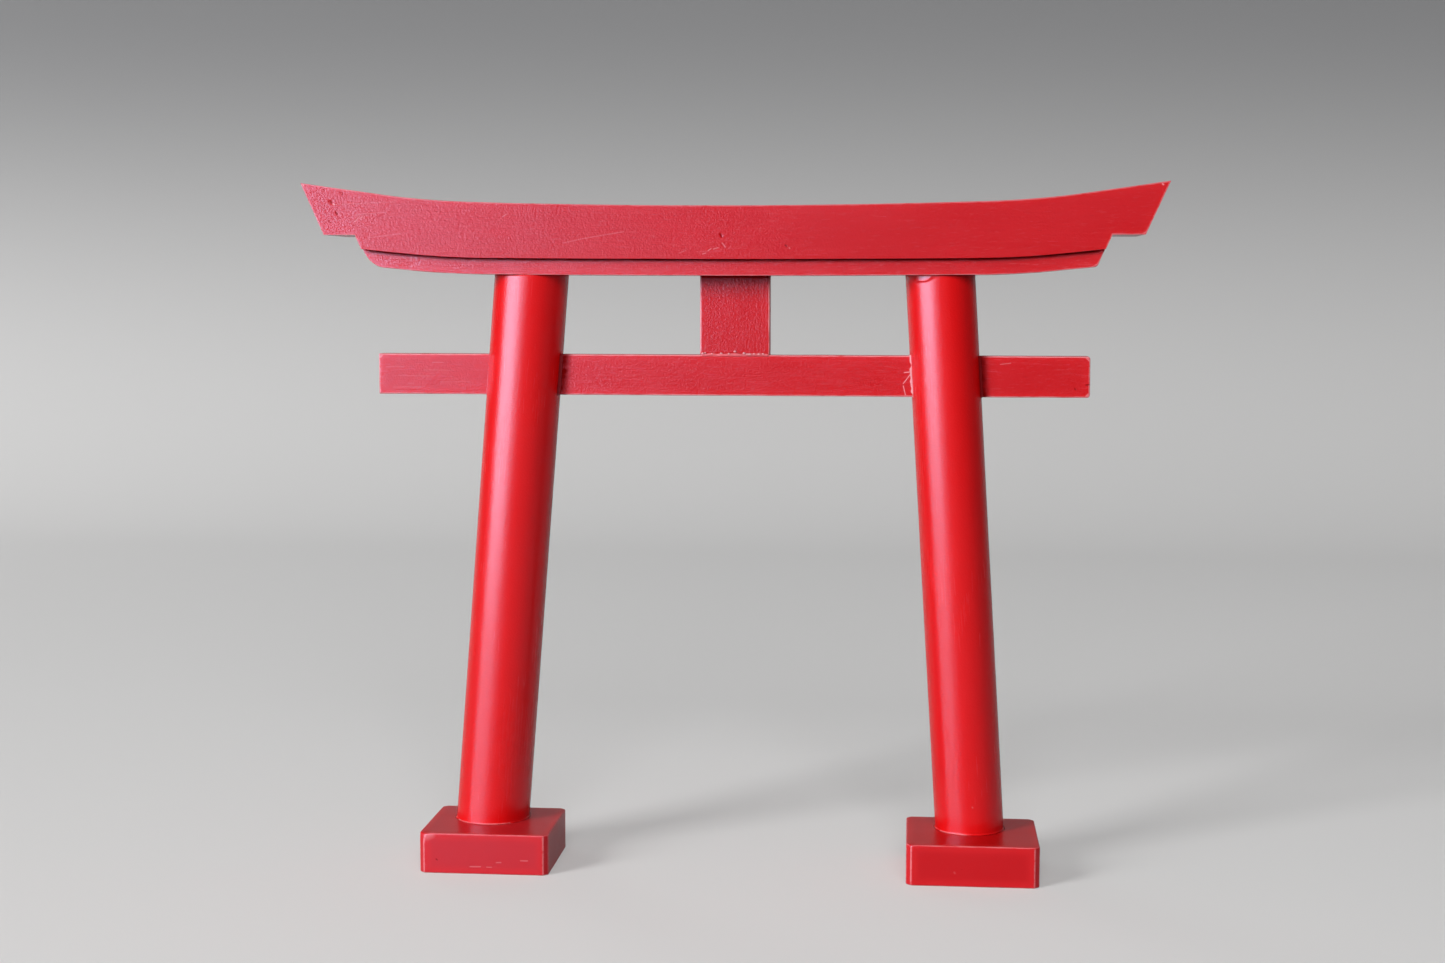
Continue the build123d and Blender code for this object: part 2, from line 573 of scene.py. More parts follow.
class Timber:
    """A piece of wood being worked: a bmesh that starts as a blank and is cut, bent, rounded and aged."""

    def __init__(self) -> None:
        """Starts with nothing on the bench."""
        self.mesh = bmesh.new()
        self.rim = self.mesh.verts.layers.float.new(RIM_ATTRIBUTE)
        self.arrises: list[Vector] = []

    @classmethod
    def board(cls, low: Point | Vector, high: Point | Vector) -> "Timber":
        """A plain board.

        Args:
            low: Its lowest corner.
            high: Its highest corner.

        Returns:
            The board.
        """
        timber = cls()
        size = Vector(high) - Vector(low)
        bmesh.ops.create_cube(timber.mesh, size=1.0)
        bmesh.ops.scale(timber.mesh, vec=size, verts=timber.mesh.verts)
        bmesh.ops.translate(timber.mesh, vec=Vector(low) + size / 2.0, verts=timber.mesh.verts)
        return timber

    @classmethod
    def dowel(cls, radius: float, low: float, high: float, sides: int) -> "Timber":
        """A plain upright rod on the Z axis.

        Args:
            radius: Its radius.
            low: Height of its foot.
            high: Height of its head.
            sides: Number of flats round it.

        Returns:
            The rod.
        """
        timber = cls()
        bmesh.ops.create_cone(
            timber.mesh, cap_ends=True, segments=sides, radius1=radius, radius2=radius, depth=high - low
        )
        bmesh.ops.translate(timber.mesh, vec=(0.0, 0.0, (low + high) / 2.0), verts=timber.mesh.verts)
        return timber

    def cut(self, axis: Axis, places: Iterable[float]) -> None:
        """Adds a loop of edges round the piece at each place along an axis.

        Args:
            axis: The axis.
            places: Where the loops lie along it.
        """
        for place in places:
            geometry = [*self.mesh.verts, *self.mesh.edges, *self.mesh.faces]
            bmesh.ops.bisect_plane(
                self.mesh, geom=geometry, dist=MERGE_DISTANCE, plane_co=axis.unit * place, plane_no=axis.unit
            )

    def divide(self, axis: Axis, pitch: float, start: float, end: float) -> None:
        """Adds evenly spaced loops of edges from one place to another, both included.

        Args:
            axis: Direction in which the loops are spaced.
            pitch: Their spacing, about.
            start: Place of the first loop along the axis.
            end: Place of the last loop.
        """
        count = max(1, round((end - start) / pitch))
        places = [start + (end - start) * step / count for step in range(count)]
        self.cut(axis, places + [end])

    def extrude(self, chosen: Callable[[bmesh.types.BMFace], bool], move: Point) -> None:
        """Draws chosen faces out of the piece.

        Args:
            chosen: Says which faces are drawn out.
            move: How far and which way.
        """
        faces = [face for face in self.mesh.faces if chosen(face)]
        drawn = bmesh.ops.extrude_face_region(self.mesh, geom=faces)["geom"]
        moved = [item for item in drawn if isinstance(item, bmesh.types.BMVert)]
        bmesh.ops.translate(self.mesh, vec=move, verts=moved)
        left = [face for face in faces if face.is_valid]
        bmesh.ops.delete(self.mesh, geom=left, context="FACES_ONLY")

    def shape(self, place: Callable[[Vector], Vector]) -> None:
        """Moves every point of the piece to its new place."""
        for vertex in self.mesh.verts:
            vertex.co = place(vertex.co)

    def sharp_edges(self) -> list[bmesh.types.BMEdge]:
        """The edges that stick out and aren't eased yet."""
        self.mesh.normal_update()
        return [
            edge
            for edge in self.mesh.edges
            if edge.is_manifold and edge.is_convex and edge.calc_face_angle() > SHARP_ANGLE
        ]

    def note_arris(self, start: Vector, end: Vector) -> None:
        """Notes a line along which the paint is rubbed thin."""
        steps = ceil((end - start).length / ARRIS_STEP)
        self.arrises += [start.lerp(end, step / steps) for step in range(steps + 1)]

    def ease(
        self,
        edges: list[bmesh.types.BMEdge],
        width: float,
        segments: int = ROUND_FLATS,
        rubbed: bool = True,
    ) -> None:
        """Rounds edges.

        Args:
            edges: The edges to round.
            width: How far the rounding reaches from each edge.
            segments: Number of flats across it.
            rubbed: Whether the paint is rubbed thin there.
        """
        if rubbed:
            for edge in edges:
                self.note_arris(edge.verts[0].co, edge.verts[1].co)
        bmesh.ops.bevel(
            self.mesh,
            geom=edges,
            offset=width,
            offset_type="OFFSET",
            segments=segments,
            profile=0.5,
            affect="EDGES",
            material=-1,
            clamp_overlap=True,
        )

    def measure_rim(self) -> None:
        """Writes each point's distance from the nearest rubbed edge."""
        nearby = kdtree.KDTree(len(self.arrises))
        for number, point in enumerate(self.arrises):
            nearby.insert(point, number)
        nearby.balance()
        for vertex in self.mesh.verts:
            vertex[self.rim] = nearby.find(vertex.co)[2] if self.arrises else FAR_FROM_ARRIS

    def press(self, dent: Dent) -> None:
        """Presses a dent into a front face, after dividing the faces round it.

        Args:
            dent: The dent.
        """
        start = Vector(dent.start)
        end = Vector(dent.end)
        span = dent.reach * dent.divided_share
        near = [
            face
            for face in self.mesh.faces
            if face.normal.y < -SQUARE_ON and distance_to_line(face.calc_center_median(), start, end) < span
        ]
        edges = list(dict.fromkeys(edge for face in near for edge in face.edges))
        bmesh.ops.subdivide_edges(self.mesh, edges=edges, cuts=dent.cuts, use_grid_fill=True)
        for vertex in self.mesh.verts:
            distance = distance_to_line(vertex.co, start, end)
            if distance < dent.reach:
                vertex.co.y += dent.sink(distance)

    def roughen(self, unevenness: Unevenness) -> None:
        """Gives the faces a slow, slight unevenness.

        Args:
            unevenness: Its depth, pitch and seed.
        """
        self.mesh.normal_update()
        offset = Vector((unevenness.seed, -unevenness.seed, unevenness.seed / 2.0))
        for vertex in self.mesh.verts:
            swell = noise.noise(vertex.co / unevenness.pitch + offset)
            vertex.co += vertex.normal * (unevenness.depth * swell)

    def finish(self, name: str, paint: bpy.types.Material, slot: str, *nodes: str) -> bpy.types.Object:
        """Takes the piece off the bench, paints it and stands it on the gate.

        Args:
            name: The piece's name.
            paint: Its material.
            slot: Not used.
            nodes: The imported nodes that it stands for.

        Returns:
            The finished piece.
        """
        bmesh.ops.remove_doubles(self.mesh, verts=self.mesh.verts, dist=MERGE_DISTANCE)
        bmesh.ops.recalc_face_normals(self.mesh, faces=self.mesh.faces)
        self.measure_rim()
        data = bpy.data.meshes.new(name)
        self.mesh.to_mesh(data)
        self.mesh.free()
        data.materials.append(paint)
        data.shade_smooth()
        piece = bpy.data.objects.new(name, data)
        bpy.context.scene.collection.objects.link(piece)
        flats = piece.modifiers.new("flats", "WEIGHTED_NORMAL")
        flats.weight = NORMAL_WEIGHT
        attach(piece, BODY)
        if nodes:
            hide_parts(*nodes)
        log.info("%s: %d faces", name, len(data.polygons))
        return piece


@dataclass
class SweptEdge:
    """One long edge of the lintel: a shallow arc in the middle, a tighter bend, then a straight rise."""

    middle: float
    middle_radius: float
    bend_start: float
    bend_radius: float
    end_slope: float

    def height(self, x: float) -> float:
        """Height of the edge at a place along the lintel.

        Args:
            x: The place.

        Returns:
            The height.
        """
        reach = abs(x)
        start_turn = asin(self.bend_start / self.middle_radius)
        if reach <= self.bend_start:
            return self.middle + self.middle_radius - sqrt(self.middle_radius ** 2 - reach ** 2)
        bend_z = self.middle + self.middle_radius * (1.0 - cos(start_turn))
        bend_run = self.bend_radius * (sin(self.end_slope) - sin(start_turn))
        run = reach - self.bend_start
        if run <= bend_run:
            turn = asin(sin(start_turn) + run / self.bend_radius)
            return bend_z + self.bend_radius * (cos(start_turn) - cos(turn))
        rise_z = bend_z + self.bend_radius * (cos(start_turn) - cos(self.end_slope))
        return rise_z + (run - bend_run) * tan(self.end_slope)


@dataclass
class Lintel:
    """The two-part lintel: the kasagi on top, and the shimaki, the narrower strip under it."""

    upper_middle: float = 0.2342
    upper_radius: float = 3.0
    upper_bend_start: float = 0.090
    upper_slope: float = radians(8.0)
    lower_radius: float = 10.0
    lower_bend_start: float = 0.086
    lower_slope: float = radians(5.7)
    bend_radius: float = 0.3
    tip_underside: float = 0.2241
    step_reach: float = 0.131
    end_rake: float = radians(24)
    rake_start: float = 0.100
    shimaki_left_corner: float = 0.0045
    shimaki_right_corner: float = 0.0008
    corner_flats: int = 8
    edge_round: float = 0.0005
    end_round: float = 0.00018
    end_flats: int = 2
    pitch: float = 0.0014
    kasagi_pitch: float = 0.0016
    kasagi_margin: float = 0.0012
    shimaki_pitch: float = 0.0012
    shimaki_margin: float = 0.001
    shimaki_end_margin: float = 0.002
    depth_pitch: float = 0.003
    depth_margin: float = 0.0015
    settle_passes: int = 4
    kasagi_wave: Unevenness = Unevenness(0.00005, 0.018, 3.1)
    shimaki_wave: Unevenness = Unevenness(0.00007, 0.009, 8.4)
    # Width and stations of the painted shadow that the beam's overhang casts on the strip's front.
    seam_shadow_width: float = 0.0014
    seam_shadow_stations: tuple[float, ...] = (
        -126.0, -112.0, -98.0, -86.0, -45.0, 0.0, 45.0, 86.0, 98.0, 112.0, 126.0,
    )
    kasagi_low: Vector = field(init=False)
    kasagi_high: Vector = field(init=False)
    shimaki_low: Vector = field(init=False)
    shimaki_high: Vector = field(init=False)
    upper: SweptEdge = field(init=False)
    seam: SweptEdge = field(init=False)
    lower: SweptEdge = field(init=False)

    def __post_init__(self) -> None:
        """Reads the two nodes' boxes and lays out the long edges."""
        self.kasagi_low, self.kasagi_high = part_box("kasagi")
        self.shimaki_low, self.shimaki_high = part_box("shimaki")
        self.upper = SweptEdge(
            self.upper_middle, self.upper_radius, self.upper_bend_start, self.bend_radius, self.upper_slope
        )
        self.seam = self.lower_curve(self.kasagi_low.z)
        self.lower = self.lower_curve(self.shimaki_low.z)

    def lower_curve(self, middle: float) -> SweptEdge:
        """The curve of the strip's two long faces, through a height in the middle."""
        return SweptEdge(middle, self.lower_radius, self.lower_bend_start, self.bend_radius, self.lower_slope)

    def raked(self, x: float, z: float) -> float:
        """Place along the lintel of a point, once the ends are cut to their rake.

        Args:
            x: Where it stood before.
            z: Its height.

        Returns:
            Its new place.
        """
        share = smooth_step(self.rake_start, self.step_reach, abs(x))
        lean = share * (z - self.tip_underside) * tan(self.end_rake)
        return x + (lean if x > 0.0 else -lean)

    def ease_exposed(self, timber: Timber) -> None:
        """Rounds a sawn piece's edges: the paint is rubbed on all but those that lie in the seam.

        Args:
            timber: The sawn piece.
        """
        edges = timber.sharp_edges()
        for edge in edges:
            start, end = (vertex.co for vertex in edge.verts)
            if abs(start.z - self.seam.height(start.x)) > self.edge_round:
                timber.note_arris(start, end)
        timber.ease(edges, self.edge_round, rubbed=False)

    def kasagi(self, paint: Paint, dents: Iterable[Dent]) -> bpy.types.Object:
        """Builds the top beam.

        Args:
            paint: Its finish.
            dents: Knocks in its front face.

        Returns:
            The finished beam.
        """
        front = self.kasagi_low.y
        back = self.kasagi_high.y
        base = self.tip_underside
        drop = base - self.kasagi_low.z
        crown = self.kasagi_high.z
        tip_reach = self.kasagi_high.x - (crown - base) * tan(self.end_rake)
        timber = Timber.board((-tip_reach, front, base), (tip_reach, back, crown))
        timber.cut(Axis.X, (-self.step_reach, self.step_reach))
        timber.extrude(
            lambda face: face.normal.z < -SQUARE_ON and abs(face.calc_center_median().x) < self.step_reach,
            (0.0, 0.0, -drop),
        )
        inner = self.step_reach - self.pitch
        outer = self.step_reach + self.pitch
        ends = tip_reach - self.pitch
        timber.divide(Axis.X, self.pitch, -ends, -outer)
        timber.divide(Axis.X, self.pitch, -inner, inner)
        timber.divide(Axis.X, self.pitch, outer, ends)
        margin = self.kasagi_margin
        timber.divide(Axis.Z, self.kasagi_pitch, base - drop + margin, base - margin)
        timber.divide(Axis.Z, self.kasagi_pitch, base + margin, crown - margin)
        timber.divide(Axis.Y, self.depth_pitch, front + self.depth_margin, back - self.depth_margin)

        def sawn(point: Vector) -> Vector:
            """Place of a point of the blank on the sawn beam.

            Args:
                point: The point of the blank.

            Returns:
                Its place on the beam.
            """
            z = point.z
            x = point.x
            for _ in range(self.settle_passes):
                x = self.raked(point.x, z)
                if point.z >= base:
                    z = base + (point.z - base) / (crown - base) * (self.upper.height(x) - base)
                else:
                    z = base - (base - point.z) / drop * (base - self.seam.height(x))
            return Vector((x, point.y, z))

        timber.shape(sawn)
        across = [edge for edge in timber.sharp_edges() if runs_along(edge, Axis.Y)]
        timber.ease(across, self.end_round, self.end_flats)
        self.ease_exposed(timber)
        for dent in dents:
            timber.press(dent)
        timber.roughen(self.kasagi_wave)
        return timber.finish("kasagi_beam", paint.material(), "lintel_paint", "kasagi")

    def painted_seam_shadow(self) -> tuple[Mark, ...]:
        """A painted shadow on the strip's front, in the corner under the beam, where the beam's overhang
        casts its shade.

        Returns:
            A band of painted shadow for each stretch between two stations.
        """
        corner = []
        for station in self.seam_shadow_stations:
            x = station * MILLIMETRE
            corner.append((x, self.shimaki_low.y, self.seam.height(x)))
        return tuple(
            Mark(MarkKind.PAINTED_SHADOW, near, far, self.seam_shadow_width) for near, far in zip(corner, corner[1:])
        )

    def shimaki(self, paint: Paint) -> bpy.types.Object:
        """Builds the narrower strip under the beam.

        Args:
            paint: Its finish.

        Returns:
            The finished strip.
        """
        thickness = self.kasagi_low.z - self.shimaki_low.z
        front = self.shimaki_low.y
        back = self.shimaki_high.y
        reach = self.step_reach
        timber = Timber.board((-reach, front, 0.0), (reach, back, thickness))
        for end, radius in ((-reach, self.shimaki_left_corner), (reach, self.shimaki_right_corner)):
            corner = [
                edge
                for edge in timber.mesh.edges
                if all(
                    vertex.co.z < MERGE_DISTANCE and abs(vertex.co.x - end) < MERGE_DISTANCE
                    for vertex in edge.verts
                )
            ]
            timber.ease(corner, radius, self.corner_flats, rubbed=False)
        margin = self.shimaki_margin
        left = -reach + self.shimaki_left_corner + margin
        timber.divide(Axis.X, self.pitch, left, reach - self.shimaki_end_margin)
        timber.divide(Axis.Y, self.depth_pitch, front + self.depth_margin, back - self.depth_margin)
        timber.divide(Axis.Z, self.shimaki_pitch, margin, thickness - margin)

        def sawn(point: Vector) -> Vector:
            """Place of a point of the blank on the sawn strip.

            Args:
                point: The point of the blank.

            Returns:
                Its place on the strip.
            """
            x = point.x
            z = point.z
            for _ in range(self.settle_passes):
                z = self.lower.height(x) + point.z
                x = self.raked(point.x, z)
            return Vector((x, point.y, z))

        timber.shape(sawn)
        self.ease_exposed(timber)
        timber.roughen(self.shimaki_wave)
        return timber.finish("shimaki_strip", paint.material(), "lintel_paint", "shimaki")


@dataclass(frozen=True)
class PaintLip:
    """A flap of paint that hangs from the lintel over a post's front.

    Places across the post are shares of its radius, from its axis.
    """

    depth: float = 0.00028
    edge: float = 0.0003
    drop: float = 0.0022
    curl: float = 0.0016
    curl_start: float = -0.52
    curl_run: float = 0.3
    left_fade: Range = (-0.84, -0.66)
    right_fade: Range = (-0.16, -0.26)

    def rise(self, across: float, z: float, head_z: float) -> float:
        """How far the flap stands proud of the post.

        Args:
            across: Place across the post.
            z: Height.
            head_z: Height of the post's head.

        Returns:
            The rise of the paint.
        """
        hem = head_z - self.drop + self.curl * (max(0.0, across - self.curl_start) / self.curl_run) ** 2
        span = smooth_step(*self.left_fade, across) * smooth_step(*self.right_fade, across)
        return self.depth * span * smooth_step(0.0, self.edge, z - hem)


@dataclass
class Post:
    """A round post that leans inwards, with a bead of paint round its foot."""

    side: str
    foot_x: float
    head_x: float
    sides: int = 144
    pitch: float = 0.0025
    foot_margin: float = 0.0015
    head_margin: float = 0.0034
    head_band: float = 0.003
    head_pitch: float = 0.0002
    head_sink: float = 0.0004
    wave_depth: float = 0.00005
    wave_pitch: float = 0.05
    wave_turns: float = 1.6
    bead: float = 0.0006
    bead_pitch: float = 0.00014
    bead_mean: float = 0.8
    bead_range: float = 0.5
    bead_turns: float = 5.0
    bead_span: Range = (-0.84, 0.62)
    rub_out_share: float = 0.4
    rub_up_share: float = 0.3
    lip: PaintLip | None = None
    radius: float = field(init=False)
    plane_y: float = field(init=False)
    foot_z: float = field(init=False)
    head_z: float = field(init=False)
    slope: float = field(init=False)
    seed: float = field(init=False)

    def __post_init__(self) -> None:
        """Reads the post's box and those of the pieces that it stands between."""
        low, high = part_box(f"{self.side}_post")
        self.radius = (high.y - low.y) / 2.0
        self.plane_y = (high.y + low.y) / 2.0
        self.foot_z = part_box(f"{self.side}_foot_block")[1].z
        self.head_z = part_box("shimaki")[0].z
        self.slope = (self.head_x - self.foot_x) / (self.head_z - self.foot_z)
        self.seed = self.foot_x * SEED_PER_METRE

    def centre_x(self, z: float) -> float:
        """Place of the post's axis at a height."""
        return self.foot_x + self.slope * (z - self.foot_z)

    def bead_line(self) -> list[Vector]:
        """The line round the front of the foot along which the bead's paint is rubbed.

        Returns:
            Points of the line, in order.
        """
        ring = self.radius + self.bead * self.rub_out_share
        z = self.foot_z + self.bead * self.rub_up_share
        start, end = (asin(share) for share in self.bead_span)
        turns = (start + (end - start) * step / self.sides for step in range(self.sides + 1))
        return [
            Vector((self.foot_x + ring * sin(turn), self.plane_y - ring * cos(turn), z))
            for turn in turns
        ]

    def build(self, paint: Paint) -> bpy.types.Object:
        """Builds the post.

        Args:
            paint: Its finish.

        Returns:
            The finished post.
        """
        timber = Timber.dowel(self.radius, self.foot_z, self.head_z + self.head_sink, self.sides)
        timber.divide(Axis.Z, self.bead_pitch, self.foot_z + self.bead_pitch, self.foot_z + self.bead)
        timber.divide(Axis.Z, self.pitch, self.foot_z + self.foot_margin, self.head_z - self.head_margin)
        timber.divide(Axis.Z, self.head_pitch, self.head_z - self.head_band, self.head_z - self.head_pitch)
        widening = sqrt(1.0 + self.slope ** 2)

        def turned(point: Vector) -> Vector:
            """Place of a point of the plain rod on the leaning, hand-finished post.

            Args:
                point: The point of the rod.

            Returns:
                Its place on the post.
            """
            outward = Vector((point.x, point.y, 0.0)).normalized()
            wave = Vector((
                outward.x * self.wave_turns,
                outward.y * self.wave_turns,
                point.z / self.wave_pitch + self.seed,
            ))
            growth = self.wave_depth * noise.noise(wave)
            height = max(0.0, point.z - self.foot_z)
            if height < self.bead:
                wave = Vector((outward.x * self.bead_turns, outward.y * self.bead_turns, self.seed))
                uneven = self.bead_mean + self.bead_range * noise.noise(wave)
                growth += uneven * (self.bead - sqrt(self.bead ** 2 - (self.bead - height) ** 2))
            if self.lip and outward.y < 0.0:
                growth += self.lip.rise(point.x / self.radius, point.z, self.head_z)
            swollen = point + outward * growth
            x = self.centre_x(point.z) + swollen.x * widening
            return Vector((x, self.plane_y + swollen.y, swollen.z))

        timber.shape(turned)
        line = self.bead_line()
        for near, far in zip(line, line[1:]):
            timber.note_arris(near, far)
        return timber.finish(f"{self.side}_post_dowel", paint.material(), "post_paint", f"{self.side}_post")


@dataclass
class FootBlock:
    """A flat block with chamfered corners under a post, with its upper left front corner sanded down."""

    side: str
    sanded_reach: float
    sanded_depth: float
    seed: float
    sanded_shares: Point = (0.03, 0.0, 1.0)
    chamfer: float = 0.0017
    edge_round: float = 0.0005
    pitch: float = 0.0012
    margin: float = 0.001
    wave_depth: float = 0.00004
    wave_pitch: float = 0.012

    def build(self, paint: Paint) -> bpy.types.Object:
        """Builds the block.

        Args:
            paint: Its finish.

        Returns:
            The finished block.
        """
        low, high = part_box(f"{self.side}_foot_block")
        timber = Timber.board(low, high)
        upright = [edge for edge in timber.mesh.edges if runs_along(edge, Axis.Z)]
        timber.ease(upright, self.chamfer, segments=1, rubbed=False)
        inset = self.chamfer + self.margin
        timber.divide(Axis.X, self.pitch, low.x + inset, high.x - inset)
        timber.divide(Axis.Y, self.pitch, low.y + inset, high.y - inset)
        timber.divide(Axis.Z, self.pitch, low.z + self.margin, high.z - self.margin)
        timber.ease(timber.sharp_edges(), self.edge_round)
        shares = zip(low, high, self.sanded_shares)
        corner = Vector(start + (end - start) * share for start, end, share in shares)
        to_middle = (low + high) / 2.0 - corner
        inward = Vector((1.0 if part > 0.0 else -1.0) for part in to_middle).normalized()

        def sanded(point: Vector) -> Vector:
            """Place of a point once the corner is sanded down."""
            near = max(0.0, 1.0 - (point - corner).length / self.sanded_reach)
            return point + inward * (self.sanded_depth * near * near)

        def grounded(point: Vector) -> Vector:
            """Keeps the underside on the ground."""
            return Vector((point.x, point.y, max(low.z, point.z)))

        timber.shape(sanded)
        timber.roughen(Unevenness(self.wave_depth, self.wave_pitch, self.seed))
        timber.shape(grounded)
        return timber.finish(f"{self.side}_block", paint.material(), "foot_paint", f"{self.side}_foot_block")


@dataclass
class TieBeam:
    """The nuki, the flat bar through both posts, with beads of paint where it meets them."""

    left_corner: float = 0.0004
    right_corner: float = 0.001
    corner_flats: int = 4
    corner_margin: float = 0.0008
    edge_round: float = 0.0004
    pitch: float = 0.0014
    margin: float = 0.001
    wave: Unevenness = Unevenness(0.00005, 0.012, 1.7)
    paint_sink: float = 0.0012
    fillet_step: float = 0.1
    fillet_pitch: float = 0.0003
    fillet_rise_share: float = 0.35
    fillet_least_share: float = 0.05
    fillet_range: float = 0.25
    fillet_wave: float = 0.004
    bead_pitch: float = 0.00025
    bead_depth_pitch: float = 0.0006
    bead_margin: float = 0.0008
    bead_round_share: float = 0.9
    bead_wave_share: float = 0.5
    bead_wave: float = 0.0016
    bead_seed_scale: float = 50.0
    bead_seed_shift: float = -1.0
    bead_seed_row: float = 0.5
    bead_least: float = 0.02
    bead_mean: float = 0.55
    bead_range: float = 1.6
    low: Vector = field(init=False)
    high: Vector = field(init=False)

    def __post_init__(self) -> None:
        """Reads the bar's box."""
        self.low, self.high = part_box("nuki")

    def build(self, paint: Paint) -> bpy.types.Object:
        """Builds the bar.

        Args:
            paint: Its finish.

        Returns:
            The finished bar.
        """
        timber = Timber.board(self.low, self.high)
        for end, radius in ((self.low.x, self.left_corner), (self.high.x, self.right_corner)):
            corners = [
                edge
                for edge in timber.mesh.edges
                if runs_along(edge, Axis.Y) and abs(edge.verts[0].co.x - end) < MERGE_DISTANCE
            ]
            timber.ease(corners, radius, self.corner_flats, rubbed=False)
        inset = self.right_corner + self.corner_margin
        timber.divide(Axis.X, self.pitch, self.low.x + inset, self.high.x - inset)
        timber.divide(Axis.Z, self.pitch, self.low.z + inset, self.high.z - inset)
        timber.divide(Axis.Y, self.pitch, self.low.y + self.margin, self.high.y - self.margin)
        timber.ease(timber.sharp_edges(), self.edge_round)
        timber.roughen(self.wave)
        return timber.finish("nuki_bar", paint.material(), "strip_paint", "nuki")

    def fillet(self, post: Post, radius: float, paint: bpy.types.Material) -> bpy.types.Object:
        """Builds the hollow fillet of paint in the corner between the bar's front and a post's right side.

        Args:
            post: The post that the bar runs through.
            radius: Radius of the hollow.
            paint: Its material.

        Returns:
            The finished fillet.
        """
        face = self.low.y - post.plane_y
        sunk = self.paint_sink
        rise = radius * self.fillet_rise_share
        bottom = self.low.z - rise
        top = self.high.z + rise
        timber = Timber.board((0.0, 0.0, bottom), (1.0, 1.0, top))
        timber.divide(Axis.X, self.fillet_step, self.fillet_step, 1.0 - self.fillet_step)
        timber.divide(Axis.Z, self.fillet_pitch, bottom + self.fillet_pitch, top - self.fillet_pitch)

        def hollow(point: Vector) -> Vector:
            """Place of a point of the unit board on the fillet.

            Args:
                point: The point of the board, whose x runs round the hollow and y into the corner.

            Returns:
                Its place on the fillet.
            """
            over = max(0.0, point.z - self.high.z, self.low.z - point.z) / rise
            swell = noise.noise(Vector((post.seed, 0.0, point.z / self.fillet_wave)))
            uneven = 1.0 + self.fillet_range * swell
            size = max(radius * self.fillet_least_share, radius * uneven * (1.0 - over) ** 2)
            centre_y = face - size
            centre_x = sqrt((post.radius + size) ** 2 - centre_y ** 2)
            turn = pi / 2.0 + point.x * (pi / 2.0 - atan2(-centre_y, centre_x))
            corner_x = sqrt(post.radius ** 2 - face ** 2) - sunk
            skin = Vector((centre_x + size * cos(turn), centre_y + size * sin(turn), point.z))
            place = skin.lerp(Vector((corner_x, face + sunk, point.z)), point.y)
            return place + Vector((post.centre_x(point.z), post.plane_y, 0.0))

        timber.shape(hollow)
        return timber.finish(f"{post.side}_post_right_fillet", paint, "strip_paint")

    def collar(self, post: Post, proud: float, rim: float, paint: bpy.types.Material) -> bpy.types.Object:
        """Builds the bead of paint round the bar on a post's left side.

        Args:
            post: The post that the bar runs through.
            proud: How far the bead stands out of the post.
            rim: How far it stands out of the bar.
            paint: Its material.

        Returns:
            The finished bead.
        """
        low = Vector((-proud, self.low.y - rim, self.low.z - rim))
        high = Vector((self.paint_sink, self.high.y + rim, self.high.z + rim))
        margin = self.bead_margin
        timber = Timber.board(low, high)
        timber.divide(Axis.Z, self.bead_pitch, low.z + margin, high.z - margin)
        timber.divide(Axis.Y, self.bead_depth_pitch, low.y + margin, high.y - margin)
        timber.ease(timber.sharp_edges(), min(proud, rim) * self.bead_round_share, rubbed=False)
        seed = post.foot_x * self.bead_seed_scale + self.bead_seed_shift
        timber.roughen(Unevenness(rim * self.bead_wave_share, self.bead_wave, seed))

        def wrapped(point: Vector) -> Vector:
            """Place of a point of the straight bead on the round, leaning post.

            Args:
                point: The point of the straight bead.

            Returns:
                Its place on the post.
            """
            depth = sqrt(post.radius ** 2 - (point.y - post.plane_y) ** 2)
            swell = 1.0
            if point.x < 0.0:
                uneven = noise.noise(Vector((post.seed, self.bead_seed_row, point.z / self.bead_wave)))
                swell = max(self.bead_least, self.bead_mean + self.bead_range * uneven)
            return Vector((post.centre_x(point.z) - depth + point.x * swell, point.y, point.z))

        timber.shape(wrapped)
        return timber.finish(f"{post.side}_post_left_bead", paint, "strip_paint")


